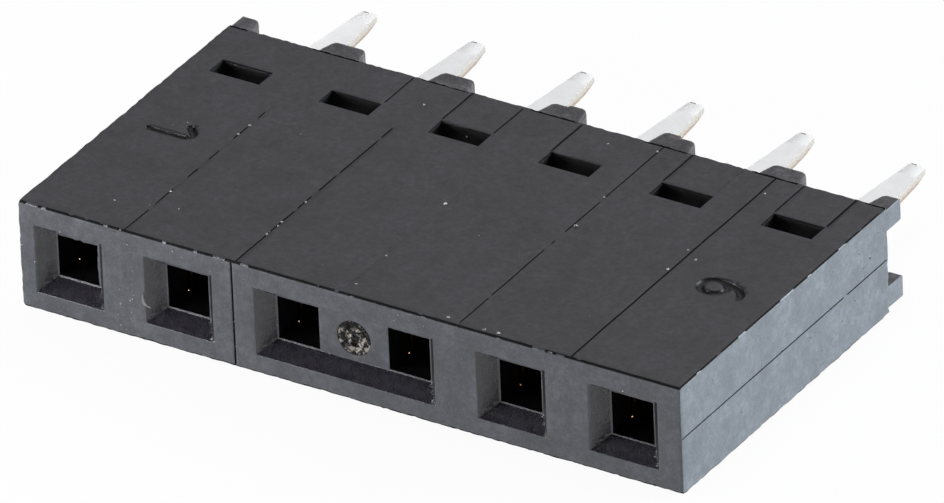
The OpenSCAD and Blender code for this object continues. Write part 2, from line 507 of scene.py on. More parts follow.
@dataclass(frozen=True)
class Camera:
    """The photograph's camera, solved from the edges of the housing; the clip distances are in metres."""

    place_mm: Place = (201.71, -312.01, 219.94)
    forward: Place = (-0.46851, 0.72237, -0.5086)
    up: Place = (-0.24032, 0.44978, 0.8602)
    sensor_mm: float = 36.0
    lens_mm: float = 838.92
    clip_start: float = 0.05
    clip_end: float = 10.0

    def build(self) -> None:
        """Makes the camera the scene's own."""
        data = bpy.data.cameras.new("camera")
        data.sensor_width = self.sensor_mm
        data.lens = self.lens_mm
        data.clip_start = self.clip_start
        data.clip_end = self.clip_end
        camera = bpy.data.objects.new("camera", data)
        back = -Vector(self.forward).normalized()
        right = Vector(self.up).cross(back).normalized()
        turn = Matrix((right, back.cross(right), back)).transposed().to_4x4()
        camera.matrix_world = Matrix.Translation(Vector(self.place_mm) * MM) @ turn
        bpy.context.scene.collection.objects.link(camera)
        bpy.context.scene.camera = camera


@dataclass(frozen=True)
class Softbox:
    """A square lamp that looks at the part; its place is in mm."""

    name: str
    place_mm: Place
    size_mm: float
    radiance: float
    colour: Place = (1.0, 1.0, 1.0)
    aim_mm: Place = (0.0, 0.0, 1.2)

    def build(self) -> None:
        """Places the lamp and turns it to its aim."""
        data = bpy.data.lights.new(self.name, "AREA")
        data.size = self.size_mm * MM
        data.energy = self.radiance * math.pi * data.size ** 2
        data.color = self.colour
        lamp = bpy.data.objects.new(self.name, data)
        away = Vector(self.place_mm) - Vector(self.aim_mm)
        lamp.location = Vector(self.place_mm) * MM
        lamp.rotation_euler = away.to_track_quat("Z", "Y").to_euler()
        bpy.context.scene.collection.objects.link(lamp)


@dataclass(frozen=True)
class Studio:
    """White ground, soft lamps and a room that is darker over the front."""

    ground_half: float = 1.5
    ground_drop_mm: float = 0.02
    room_front: Colour = (0.05, 0.05, 0.055, 1.0)
    room_side: Colour = (0.12, 0.12, 0.13, 1.0)
    room_rear: Colour = (0.44, 0.44, 0.47, 1.0)
    side_from: float = 0.4
    lamps: tuple[Softbox, ...] = (
        Softbox("lamp_front_left", (-30, -30, 7), 18, 17.0),
        Softbox("lamp_right_back", (150, 110, 30), 110, 14.0, (0.92, 0.97, 1.0)),
        Softbox("lamp_high_back", (-60, 220, 260), 260, 0.6),
        Softbox("lamp_top", (0, 0, 300), 200, 2.6),
        Softbox("lamp_front_right", (40, -90, 14), 50, 0.8),
        Softbox("lamp_glint", (233, -361, 256), 25, 26.0),
    )

    def ground(self) -> None:
        """Lays the floor just below the part."""
        half = self.ground_half
        corners = [(-half, -half, 0), (half, -half, 0), (half, half, 0), (-half, half, 0)]
        mesh = bpy.data.meshes.new("ground")
        mesh.from_pydata(corners, [], [(0, 1, 2, 3)])
        mesh.materials.append(GroundPaper().build())
        floor = bpy.data.objects.new("ground", mesh)
        floor.location.z = -self.ground_drop_mm * MM
        bpy.context.scene.collection.objects.link(floor)

    def room(self) -> None:
        """Makes the world: white where the camera looks past the floor, and a plain room for the light."""
        world = bpy.data.worlds.new("room")
        bpy.context.scene.world = world
        world.use_nodes = True
        desk = NodeDesk(world.node_tree)
        seen = desk.add("ShaderNodeLightPath").outputs["Is Camera Ray"]
        way = desk.add("ShaderNodeTexCoord").outputs["Generated"]
        to_rear = desk.add("ShaderNodeSeparateXYZ", {"Vector": way}).outputs["Y"]
        stops = [(0.0, self.room_front), (self.side_from, self.room_side), (1.0, self.room_rear)]
        shade = desk.ramp(desk.spread(to_rear, 0.0, 1.0, -0.3, 0.7), stops)
        tint = desk.mix(seen, shade, WHITE)
        desk.close(desk.add("ShaderNodeBackground", {"Color": tint, "Strength": 1.0}))

    def build(self) -> None:
        """Builds the ground, the room and the lamps."""
        self.ground()
        self.room()
        for lamp in self.lamps:
            lamp.build()


def bake(piece: Piece) -> None:
    """Applies a piece's modifiers to its mesh.

    Args:
        piece: The object, linked to the scene.
    """
    done = bpy.data.meshes.new_from_object(piece.evaluated_get(bpy.context.evaluated_depsgraph_get()))
    piece.modifiers.clear()
    spent = piece.data
    piece.data = done
    bpy.data.meshes.remove(spent)


def piece_from(bm: Mesh, name: str) -> Piece:
    """Makes a new piece of a mesh, which is then freed.

    Args:
        bm: The mesh, in mm.
        name: Name of the new piece.

    Returns:
        The piece, linked to the scene.
    """
    mesh = bpy.data.meshes.new(name)
    bm.to_mesh(mesh)
    bm.free()
    piece = bpy.data.objects.new(name, mesh)
    bpy.context.scene.collection.objects.link(piece)
    return piece


def round_off(piece: Piece, width: float, **settings: object) -> None:
    """Rounds a piece's edges in two steps.

    Args:
        piece: The piece, in mm.
        width: Width of the rounding.
        **settings: What else the rounding takes, such as which edges it leaves.
    """
    rounding = piece.modifiers.new("rounding", "BEVEL")
    for name, value in {"width": width, "segments": 2, **settings}.items():
        setattr(rounding, name, value)
    bake(piece)


def ring_of(bm: Mesh, centre: Vector, across: Vector, up: Vector, radius: float,
            sides: int) -> list[bmesh.types.BMVert]:
    """Adds a ring of points.

    Args:
        bm: The mesh that takes them, in mm.
        centre: Middle of the ring.
        across: First direction in its plane.
        up: Second direction in its plane.
        radius: Its radius.
        sides: How many points it has.

    Returns:
        The points, in order round the ring.
    """
    turns = [math.tau * k / sides for k in range(sides)]
    return [bm.verts.new(centre + (across * math.cos(t) + up * math.sin(t)) * radius) for t in turns]


def skin_rings(bm: Mesh, rings: list[list[bmesh.types.BMVert]], closed: bool = False) -> None:
    """Joins rings of points into a rod, capped at its ends unless it closes on itself.

    Args:
        bm: The mesh that takes the rod.
        rings: Its rings.
        closed: Whether the last ring joins the first.
    """
    sides = len(rings[0])
    for one, two in list(zip(rings, rings[1:])) + ([(rings[-1], rings[0])] if closed else []):
        for k in range(sides):
            bm.faces.new((one[k], one[(k + 1) % sides], two[(k + 1) % sides], two[k]))
    if not closed:
        bm.faces.new(rings[0])
        bm.faces.new(reversed(rings[-1]))


def solid_of(node: str, name: str) -> Piece:
    """Copies a CAD node's mesh into a new piece, in mm, with its flat faces whole again.

    Args:
        node: The CAD node.
        name: Name of the new piece.

    Returns:
        The new piece, linked to the scene.
    """
    weld, flat = 0.0005, math.radians(0.6)
    bm = bmesh.new()
    bm.from_mesh(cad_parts[node].data)
    bmesh.ops.transform(bm, matrix=Matrix.Scale(1 / MM, 4), verts=bm.verts)
    bmesh.ops.remove_doubles(bm, verts=bm.verts, dist=weld)
    bmesh.ops.dissolve_limit(bm, angle_limit=flat, verts=bm.verts, edges=bm.edges)
    return piece_from(bm, name)


def finish_piece(piece: Piece, materials: list[Material], sharp: float) -> None:
    """Smooths a piece between its edges, brings it to metres and gives it its body and slot.

    Args:
        piece: The piece, in mm.
        materials: Materials in slot order.
        sharp: Angle in degrees above which an edge stays sharp.
    """
    largest_smooth = 0.3 * MM ** 2
    mesh = piece.data
    mesh.transform(Matrix.Scale(MM, 4))
    for material in materials:
        mesh.materials.append(material)
    mesh.polygons.foreach_set("use_smooth", [polygon.area < largest_smooth for polygon in mesh.polygons])
    mesh.set_sharp_from_angle(angle=math.radians(sharp))
    weigh = piece.modifiers.new("even_normals", "WEIGHTED_NORMAL")
    weigh.keep_sharp = True
    bake(piece)
    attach(piece, "root")
    log.info("%s: %d faces", piece.name, len(piece.data.polygons))


def slice_rows(bm: Mesh, axis: int, places: list[float]) -> None:
    """Cuts a mesh along planes across one axis.

    Args:
        bm: The mesh.
        axis: 0, 1 or 2 for X, Y or Z.
        places: Where the planes lie.
    """
    normal = Vector((axis == 0, axis == 1, axis == 2))
    for place in places:
        geometry = [*bm.verts, *bm.edges, *bm.faces]
        bmesh.ops.bisect_plane(bm, geom=geometry, dist=1e-5, plane_co=normal * place, plane_no=normal)


def rows_between(low: float, high: float, step: float, keep_off: list[float], gap: float) -> list[float]:
    """Lists evenly spaced places that stay clear of given ones.

    Args:
        low: First place.
        high: Last place.
        step: Distance between places.
        keep_off: Places that are cut already.
        gap: Least distance from those.

    Returns:
        The places.
    """
    count = round((high - low) / step)
    places = [low + (high - low) * i / count for i in range(1, count)]
    return [p for p in places if all(abs(p - k) > gap for k in keep_off)]


class Side(Enum):
    """Outer faces that carry mould lines; the value points out of the face."""

    TOP = (0, 0, 1)
    FRONT = (0, -1, 0)
    RIGHT = (1, 0, 0)
    LEFT = (-1, 0, 0)


@dataclass(frozen=True)
class MouldLine:
    """Fine groove where two parts of the mould meet: its side, place, reach and form in mm.

    A line on the top or front lies at one X, a line on an end at one Z. A negative depth is a ridge.
    """

    side: Side
    at: float
    start: float
    end: float
    width: float = 0.036
    depth: float = 0.03
    broken: float = 0.0
    fade: float = 0.12
    stray: float = 0.012

    @property
    def lies_across(self) -> bool:
        """Whether the line lies at one X."""
        return self.side in (Side.TOP, Side.FRONT)

    def off(self, place: Vector) -> float:
        """Gives how far a place lies beside the line's middle."""
        return (place.x if self.lies_across else place.z) - self.at

    def along(self, place: Vector) -> float:
        """Gives where a place lies along the line."""
        return place.z if self.side is Side.FRONT else place.y

    def strength(self, along: float) -> float:
        """Gives the line's depth share, which fades at its ends and in its broken patches.

        Args:
            along: Place along the line.

        Returns:
            The share from 0 to 1.
        """
        inside = min(along - self.start, self.end - along)
        patch = ripple(along * 2.3, self.at * 5, 3.0) * 0.5 + 0.5
        return clamp(inside / self.fade) * (1 - self.broken * clamp((patch - 0.35) * 4))

    def wander(self, along: float) -> float:
        """Gives the sideways wander of the line in mm."""
        return self.stray * ripple(along * 1.3, self.at * 3, 8.0)


@dataclass
class Housing:
    """The moulded housing, with the marks that its mould left. Sizes are in mm.

    The shares say how much of the widest rounding each kind of edge has, and the rows are how far
    apart the surface is cut, along each axis, so that it can hold the marks.
    """

    cad: tuple[Vector, Vector]
    depth: float = 7.78
    height: float = 2.4
    axis_shift: float = -0.1
    axis_z: float = 1.17
    hole: float = 0.95
    lead_depth: float = 0.36
    lead_half: float = 0.79
    window_half: float = 0.56
    window_shift: float = -0.02
    window_rear: float = 6.52
    numeral_height: float = 0.94
    numeral_stroke: float = 0.19
    numeral_lift: float = 0.015
    edge_reach: float = 0.045
    edge_wear: float = 0.013
    rim: float = 0.1
    mark_reach: float = 0.031
    step_width: float = 0.085
    step_half: float = 0.5
    step_depth: float = 0.05
    hairline: float = 0.016
    insert_step: float = 0.07
    window_length: float = 0.47
    rounding: float = 0.1
    end_share: float = 0.27
    rim_share: float = 0.1
    mouth_share: float = 0.06
    floor_share: float = 0.08
    window_share: float = 0.25
    row_x: float = 0.09
    row_y: float = 0.13
    row_z: float = 0.1
    row_gap: float = 0.03
    lines: list[MouldLine] = field(init=False)

    def __post_init__(self) -> None:
        """Works out the outer faces from the frame and lists the mould lines."""
        low, high = self.cad
        self.left, self.right = low.x / MM, high.x / MM
        self.front = low.y / MM
        self.rear = self.front + self.depth
        self.lines = self.mould_lines()

    def off_ends(self, place: Vector) -> float:
        """Distance of a place from the nearer end of the row."""
        return min(place.x - self.left, self.right - place.x)

    def off_windows(self, place: Vector) -> float:
        """Distance of a place from the middle line of the lock windows."""
        return abs(place.y - self.front - self.window_rear + self.window_length / 2)

    def framed(self, place: Vector) -> bool:
        """Tells whether a place lies between the upper and the lower rim."""
        return self.rim < place.z < self.height - self.rim

    def below(self, side: Side, place: Vector) -> float:
        """Gives how deep a place lies below an outer face."""
        levels = {Side.TOP: self.height, Side.FRONT: -self.front,
                  Side.RIGHT: self.right, Side.LEFT: -self.left}
        return levels[side] - place.dot(Vector(side.value))

    def way_x(self, way: int) -> float:
        """Axis of a way's pin hole."""
        return self.axis_shift + bay_x(way)

    def mould_lines(self) -> list[MouldLine]:
        """Lists the lines between the mould's inserts.

        Returns:
            The lines of the wide face, the mating face and both ends.
        """
        front, rear = self.front, self.rear
        gap = [gap_x(number) for number in range(WAYS)]
        lines = [
            MouldLine(Side.TOP, gap[1] - 0.03, front, front + 5.6, 0.034, 0.03, 0.7),
            MouldLine(Side.TOP, gap[2] - 0.02, front, front + 5.9, 0.04, 0.04, 0.55),
            MouldLine(Side.TOP, gap[3] - 0.06, front, front + 1.9, 0.03, -0.012, 0.7),
            MouldLine(Side.TOP, gap[3] - 0.05, front + 2.0, front + 5.2, 0.024, 0.009, 0.5),
            MouldLine(Side.TOP, gap[4] - 0.01, front, rear, 0.034, 0.026, 0.5),
            MouldLine(Side.TOP, gap[5] + 0.02, front, rear, 0.044, 0.036, 0.1),
            MouldLine(Side.FRONT, gap[2] - 0.105, 0.0, self.height, 0.042, 0.05),
            MouldLine(Side.FRONT, gap[1] - 0.1, 0.0, self.height, 0.09, -0.007),
            MouldLine(Side.FRONT, gap[5] + 0.1, 0.0, self.height, 0.09, 0.006),
            MouldLine(Side.RIGHT, 1.24, front, rear, 0.033, 0.034, 0.35),
            MouldLine(Side.LEFT, 1.24, front, rear, 0.034, 0.02, 0.5),
        ]
        window_rear = front + self.window_rear
        corners = {2: (0.0, 0.014), 3: (0.026, 0.014), 4: (0.034, 0.0), 5: (0.03, -0.012), 6: (0.02, 0.045)}
        beside = self.window_half + 0.035
        for way, depths in corners.items():
            for side, depth in zip((-1, 1), depths):
                at = bay_x(way) + self.window_shift + side * beside
                width = 0.028 + 0.5 * abs(depth)
                if depth:
                    lines.append(MouldLine(Side.TOP, at, window_rear, rear, width, depth, 0.2))
        return lines

    def glyph_place(self, way: int, reading: float, rise: float) -> Vector:
        """Turns a numeral's own place into a place on the wide face; numerals stand towards +X."""
        return Vector((bay_x(way) + rise, self.front + 3.6 - reading, self.height + self.numeral_lift))

    def glyph_strokes(self, way: int) -> list[list[Vector]]:
        """Centre lines of the circuit number of the first or last way.

        Args:
            way: 1 or the last way, which is 6.

        Returns:
            One list of points for each stroke.
        """
        half = self.numeral_height / 2
        if way == 1:
            bend, flag = 0.125, 0.17
            hook = [(bend * (math.cos(t) - 1), half + bend * (math.sin(t) - 1)) for t in angles(135, 0, 10)]
            start = (hook[0][0] - flag, hook[0][1] - flag)
            stem = [(0.0, half - bend - (2 * half - bend) * i / 8) for i in range(1, 9)]
            strokes = [[start, *hook, *stem]]
        else:
            wide, tall, shift = 0.25, 0.28, 0.17
            foot = tall - half
            bowl = [(wide * math.cos(t), foot + tall * math.sin(t)) for t in angles(0, 360, 28)]
            reach, rise = wide + shift, half - foot
            stem = [(shift + reach * math.cos(t), foot + rise * math.sin(t)) for t in angles(180, 90, 10)]
            strokes = [bowl, stem]
        return [[self.glyph_place(way, *point) for point in stroke] for stroke in strokes]

    def stroke_tool(self, name: str, path: list[Vector]) -> Piece:
        """Makes a round-ended cutter along a stroke.

        Args:
            name: Name of the cutter.
            path: The stroke's points, all at one height.

        Returns:
            The cutter, linked to the scene.
        """
        radius, sides = self.numeral_stroke / 2, 14
        up = Vector((0, 0, 1))
        closed = (path[0] - path[-1]).length < HAIR
        points = path[:-1] if closed else path
        count = len(points)
        rings: list[tuple[Vector, Vector, float]] = []
        for i, point in enumerate(points):
            before = points[(i - 1) % count] if closed else points[max(i - 1, 0)]
            after = points[(i + 1) % count] if closed else points[min(i + 1, count - 1)]
            rings.append((point, (after - before).normalized(), 1.0))
        if not closed:
            caps = [math.radians(80), math.radians(50), math.radians(25)]
            start, along, _ = rings[0]
            end, onward, _ = rings[-1]
            head = [(start - along * radius * math.sin(a), along, math.cos(a)) for a in caps]
            tail = [(end + onward * radius * math.sin(a), onward, math.cos(a)) for a in reversed(caps)]
            rings = head + rings + tail
        bm = bmesh.new()
        made = [ring_of(bm, centre, way.cross(up), up, radius * share, sides) for centre, way, share in rings]
        skin_rings(bm, made, closed)
        bmesh.ops.recalc_face_normals(bm, faces=bm.faces)
        return piece_from(bm, name)

    def cut_numerals(self, piece: Piece) -> None:
        """Sinks the circuit numbers of the first and last way into the wide face.

        Args:
            piece: The housing, in mm.
        """
        for way in (1, WAYS):
            for index, path in enumerate(self.glyph_strokes(way)):
                tool = self.stroke_tool(f"stroke_{way}_{index}", path)
                cutter = piece.modifiers.new("numeral", "BOOLEAN")
                cutter.object = tool
                cutter.solver = "EXACT"
                bake(piece)
                bpy.data.objects.remove(tool)

    def edge_share(self, edge: bmesh.types.BMEdge) -> float:
        """Gives how much an edge is rounded, as a share of the widest rounding.

        Args:
            edge: An edge of the housing, in mm.

        Returns:
            The share from 0 to 1.
        """
        bluntest, at_floor, on_standoff, at_window = math.radians(20), 0.05, 0.1, 0.25
        if len(edge.link_faces) != 2 or edge.calc_face_angle(0.0) < bluntest:
            return 0.0
        middle = (edge.verts[0].co + edge.verts[1].co) / 2
        if self.off_ends(middle) < HAIR:
            return self.end_share
        if middle.y < self.front + self.mark_reach:
            return self.mouth_share if self.framed(middle) else self.rim_share
        if abs(middle.y - self.front - self.lead_depth) < at_floor and self.framed(middle):
            return self.floor_share
        if middle.y > self.rear - HAIR:
            return 1.0 if middle.y > self.rear + on_standoff else self.rim_share
        if middle.z > self.height - HAIR and self.off_windows(middle) < at_window:
            return self.window_share
        return 0.0

    def round_edges(self, piece: Piece) -> None:
        """Rounds the outer edges and the mouths.

        Args:
            piece: The housing, in mm.
        """
        bm = bmesh.new()
        bm.from_mesh(piece.data)
        share = bm.edges.layers.float.new("bevel_weight_edge")
        for edge in bm.edges:
            edge[share] = self.edge_share(edge)
        bm.to_mesh(piece.data)
        bm.free()
        round_off(piece, self.rounding, limit_method="WEIGHT", use_clamp_overlap=False)

    def in_painted_edge_shade(self, middle: Vector, normal: Vector) -> bool:
        """Tells whether a face lies on the stretches of the long outer edges and of the end edges that are
        painted dark as shade.

        Args:
            middle: Middle of the face, in mm.
            normal: Its normal.

        Returns:
            True where the edge takes painted shade.
        """
        reach, least, left_lit_above, left_lit_spot_above = self.edge_reach, 0.12, 0.42, 0.47
        near_x = self.off_ends(middle) < reach
        near_y = min(middle.y - self.front, abs(middle.y - self.rear)) < reach
        near_z = min(middle.z, self.height - middle.z) < reach
        long_edge = near_y and near_z and min(abs(normal.y), abs(normal.z)) > least
        end_edge = near_x and near_z and min(abs(normal.x), abs(normal.z)) > least
        # Random stretches and spots are left out of the painted shade.
        left_lit = ripple(middle.x * 3.1, middle.y * 3.1, middle.z) > left_lit_above
        left_lit_spot = ripple(middle.x * 9.0, middle.y * 9.0, middle.z + 4.0) > left_lit_spot_above
        return (long_edge or end_edge) and not left_lit and not left_lit_spot

    def in_groove(self, middle: Vector, normal: Vector) -> bool:
        """Tells whether a face lies in the groove of a mould line; these faces take the near-black plastic as
        painted shade.

        Args:
            middle: Middle of the face, in mm.
            normal: Its normal.

        Returns:
            True in a groove.
        """
        reach, facing, least, shallow, unevenness = 0.032, 0.3, 0.42, 0.01, 0.7
        carried = {
            side: self.below(side, middle) < reach and normal.dot(Vector(side.value)) > facing
            for side in Side
        }
        for line in self.lines:
            if line.depth < shallow or not carried[line.side]:
                continue
            along = line.along(middle)
            uneven = unevenness * ripple(along * 6.0, line.at, 2.0)
            if abs(line.off(middle)) < line.width / 2 and line.strength(along) * (1 + uneven) > least:
                return True
        return False

    def in_corner(self, middle: Vector) -> bool:
        """Tells whether a place lies at a lead-in's right wall, which is painted dark as shade; ways 3 and 4
        share theirs.
        """
        reach, wall = 0.07, self.lead_half
        return any(abs(middle.x - self.way_x(way) - wall) < reach for way in range(1, WAYS + 1) if way != 3)

    def on_rim(self, middle: Vector, normal: Vector) -> bool:
        """Tells whether a face lies on the rounded upper rim of a lock window, which is painted dark as
        shade.

        Args:
            middle: Middle of the face, in mm.
            normal: Its normal.

        Returns:
            True on the rim.
        """
        upright, level, beside, off_end, deepest = 0.1, 0.97, 0.3, 0.2, 0.06
        near = self.off_windows(middle) < beside and self.off_ends(middle) > off_end
        return upright < normal.z < level and near and middle.z > self.height - deepest

    def on_step(self, middle: Vector, normal: Vector) -> bool:
        """Tells whether a face lies on the line where a standoff steps down from the wide face, which is
        painted dark as shadow.

        Args:
            middle: Middle of the face, in mm.
            normal: Its normal.

        Returns:
            True on the line.
        """
        facing, left_lit_above = 0.5, 0.45
        behind = self.rear - self.step_width < middle.y < self.rear + HAIR
        beside = abs(middle.x - round(middle.x / PITCH) * PITCH)
        # Random stretches are left out of the painted shadow.
        left_lit = ripple(middle.x * 2.7, 4.0, 1.0) > left_lit_above
        return behind and normal.z > facing and beside < self.step_half and not left_lit

    def skin_of(self, face: bmesh.types.BMFace) -> Skin:
        """Tells which copy of the plastic a face takes, lighter or darker as painted light and painted shade.

        Args:
            face: A face of the housing before its marks are added, in mm.

        Returns:
            The finish.
        """
        shallow, hair, behind_floor, walls = 0.03, 0.01, 0.06, 0.05
        middle, normal = face.calc_center_median(), face.normal
        inside_y = middle.y - self.front
        # Grooves, dark edge stretches and window rims take the near-black copy: painted shade.
        if self.in_painted_edge_shade(middle, normal) or self.in_groove(middle, normal) or self.on_rim(middle, normal):
            return Skin.GROOVE
        # The ends take a much lighter copy of the plastic: painted light.
        if self.off_ends(middle) < shallow and abs(normal.x) > 0.4:
            return Skin.END
        if inside_y > self.depth + 2 * hair:
            return Skin.STANDOFF
        # The step in front of each standoff takes the near-black copy: painted shadow.
        if self.on_step(middle, normal):
            return Skin.GROOVE
        # The mating face takes a lighter copy of the plastic: painted light.
        if inside_y < shallow and normal.y < -0.5:
            return Skin.MATING
        # In the lead-ins, floors and side walls take a darker copy as painted shade; faces that look straight
        # out take the lighter mating copy as painted light.
        if self.framed(middle) and inside_y < self.lead_depth + behind_floor:
            # Right walls and corners of the lead-ins are painted near-black as shade.
            if normal.x < -0.1 or self.in_corner(middle):
                return Skin.CORE
            return Skin.MATING if normal.y < -0.95 else Skin.LEAD
        # Faces inside the holes and cavities are painted near-black as shade.
        within = hair < middle.z < self.height - hair and inside_y < self.depth - hair
        return Skin.CORE if within and self.off_ends(middle) > walls else Skin.WIDE

    def cut_rows(self, bm: Mesh) -> None:
        """Cuts the surface into rows fine enough to hold the marks.

        Args:
            bm: The housing's mesh, in mm.
        """
        across = [line for line in self.lines if line.lies_across]
        ends = [line for line in self.lines if not line.lies_across]
        x_marks = [line.at + k * line.width / 2 for line in across for k in (-1, 0, 1)]
        z_marks = sorted({line.at + k * line.width / 2 for line in ends for k in (-1, 0, 1)})
        joints = [gap_x(number) + k for number in (3, 4) for k in (0.0, self.hairline)]
        slice_rows(bm, 0, x_marks + joints)
        slice_rows(bm, 2, z_marks)
        slice_rows(bm, 0, rows_between(self.left, self.right, self.row_x, x_marks, self.row_gap))
        steps = [self.rear - self.step_width, self.rear - self.step_width / 2]
        slice_rows(bm, 1, steps + rows_between(self.front, self.rear, self.row_y, steps, self.row_gap))
        slice_rows(bm, 2, rows_between(0.0, self.height, self.row_z, z_marks, self.row_gap))

    def sink_lines(self, bm: Mesh) -> None:
        """Presses the mould lines into the outer faces.

        Args:
            bm: The housing's mesh, in mm.
        """
        on_middle, beside = 0.002, 0.6
        for vert in bm.verts:
            co = vert.co.copy()
            for line in self.lines:
                off = line.off(co)
                if abs(off) > line.width * beside or self.below(line.side, co) >= self.mark_reach:
                    continue
                along = line.along(co)
                if abs(off) < on_middle:
                    vert.co -= Vector(line.side.value) * line.depth * line.strength(along)
                if line.lies_across:
                    vert.co.x += line.wander(along)

    def sink_steps(self, bm: Mesh) -> None:
        """Presses the uneven groove in front of each standoff into the wide face.

        Args:
            bm: The housing's mesh, in mm.
        """
        hair, least, stray = 0.004, 0.4, 0.014
        bottom = self.rear - self.step_width / 2
        for vert in bm.verts:
            co = vert.co
            beside = abs(co.x - round(co.x / PITCH) * PITCH)
            if abs(co.y - bottom) > hair or co.z < self.height - self.mark_reach or beside > self.step_half:
                continue
            uneven = ripple(co.x * 3.7, 2.0, 6.0) * 0.5 + 0.5
            vert.co.z -= self.step_depth * min(uneven + least, 1.0)
            vert.co.y += stray * ripple(co.x * 5.3, 7.0, 1.0)

    def fray_mouths(self, bm: Mesh) -> None:
        """Lets thin flash stand into the mouths of the pin holes, most of it on the first way.

        Args:
            bm: The housing's mesh, in mm.
        """
        half, inner, outer, corner, at_mouth = self.hole / 2, 0.002, 0.02, 0.06, 0.012
        thin, thick, thickest, least = 0.012, 0.02, 0.075, 0.25
        mouth = self.front + self.lead_depth
        for vert in bm.verts:
            co = vert.co
            if abs(co.y - mouth) > at_mouth:
                continue
            for way in range(1, WAYS + 1):
                side, lift = co.x - self.way_x(way), co.z - self.axis_z
                if not half - inner <= max(abs(side), abs(lift)) <= half + outer:
                    continue
                rough = ripple(co.x * 9, co.z * 9, way) * 0.5 + 0.5
                flash = thin * rough
                if way == 1 and max(lift, side) > half - outer:
                    flash = thick + thickest * max(rough - least, 0.0)
                pull = Vector((side, 0, lift))
                if abs(side) < half - corner:
                    pull.x = 0
                if abs(lift) < half - corner:
                    pull.z = 0
                vert.co -= pull.normalized() * flash

    def shift_standoffs(self, bm: Mesh) -> None:
        """Moves the halves of the standoffs on the fourth way's insert a little further out.

        Args:
            bm: The housing's mesh, in mm.
        """
        hair, outer_half = 0.01, 0.3
        for vert in bm.verts:
            between = gap_x(3) + hair < vert.co.x < gap_x(4) - hair
            if vert.co.y > self.rear + outer_half and between:
                vert.co.y += self.insert_step

    def wear_edges(self, bm: Mesh) -> None:
        """Makes the outer edges slightly uneven, as the mould left them.

        Args:
            bm: The housing's mesh, in mm.
        """
        axes = (Vector((1, 0, 0)), Vector((0, 1, 0)), Vector((0, 0, 1)))
        inward = [way for axis in axes for way in (axis, -axis)]
        shift = Vector((5, 5, 5))
        for vert in bm.verts:
            co = vert.co
            gaps = [co.x - self.left, self.right - co.x, co.y - self.front, self.rear - co.y,
                    co.z, self.height - co.z]
            near = [i for i, gap in enumerate(gaps) if -HAIR < gap < self.edge_reach]
            if len(near) < 2:
                continue
            rough = 0.5 * noise.noise(co * 3.0) + noise.noise(co * 13.0 + shift)
            push = self.edge_wear * max(rough + 0.1, -0.3)
            for i in near:
                vert.co += inward[i] * push

    def build(self, finishes: dict[Skin, Material]) -> None:
        """Builds the housing.

        Args:
            finishes: The material of each finish.
        """
        piece = solid_of("housing", "housing_moulding")
        self.cut_numerals(piece)
        self.round_edges(piece)
        bm = bmesh.new()
        bm.from_mesh(piece.data)
        bm.normal_update()
        self.cut_rows(bm)
        # Each face takes a copy of the plastic that carries its painted light or painted shade.
        for face in bm.faces:
            face.material_index = self.skin_of(face).value
        self.sink_lines(bm)
        self.sink_steps(bm)
        self.fray_mouths(bm)
        self.shift_standoffs(bm)
        self.wear_edges(bm)
        bm.to_mesh(piece.data)
        bm.free()
        finish_piece(piece, [finishes[skin] for skin in Skin], 38)
        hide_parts("housing")


@dataclass(frozen=True)
class GateScar:
    """Torn round mark that the gate left on the floor between two pin holes. Sizes are in mm."""

    middle: Place
    radius: float = 0.372
    rings: int = 16
    sides: int = 48
    relief: float = 0.06
    stand: float = 0.035
    least: float = 0.004
    raggedness: float = 0.04

    def height(self, across: float, up: float) -> float:
        """Gives how far the torn surface stands forward at a place.

        Args:
            across: Distance along X from the middle.
            up: Distance along Z from the middle.

        Returns:
            Height in mm, at its least in the pits.
        """
        place = Vector((across * 5.0, up * 5.0, 4.2))
        torn = noise.noise(place) + 0.7 * noise.noise(place * 2.3) + 0.35 * noise.noise(place * 5.1)
        rim = math.hypot(across, up) / self.radius
        return max(self.stand + self.relief * torn * (1 - rim ** 4), self.least)

    def build(self, finish: Material) -> None:
        """Builds the scar as a closed disc with a torn front.

        Args:
            finish: Its material.
        """
        bm = bmesh.new()
        x0, y0, z0 = self.middle
        rows = []
        for ring in range(self.rings + 1):
            reach = self.radius * ring / self.rings
            row = []
            for side in range(self.sides if ring else 1):
                turn = math.tau * (side + 0.5 * (ring % 2)) / self.sides
                ragged = self.raggedness * ripple(math.cos(turn) * 3, math.sin(turn) * 3, 1.7)
                uneven = reach * (1 + ragged)
                across, up = uneven * math.cos(turn), uneven * math.sin(turn)
                row.append(bm.verts.new((x0 + across, y0 - self.height(across, up), z0 + up)))
            rows.append(row)
        back = [bm.verts.new((v.co.x, y0 + self.stand, v.co.z)) for v in rows[-1]]
        count = self.sides
        for k in range(count):
            bm.faces.new((rows[0][0], rows[1][k], rows[1][(k + 1) % count]))
            for inner, outer in zip(rows[1:], [*rows[2:], back]):
                bm.faces.new((inner[k], outer[k], outer[(k + 1) % count], inner[(k + 1) % count]))
        bm.faces.new(back)
        bmesh.ops.recalc_face_normals(bm, faces=bm.faces)
        finish_piece(piece_from(bm, "gate_scar"), [finish], 25)


@dataclass(frozen=True)
class Speck:
    """A fleck on the housing: where its middle lies, how large it is in mm, and whether it is dark."""

    place: Place
    size: float
    dark: bool = False


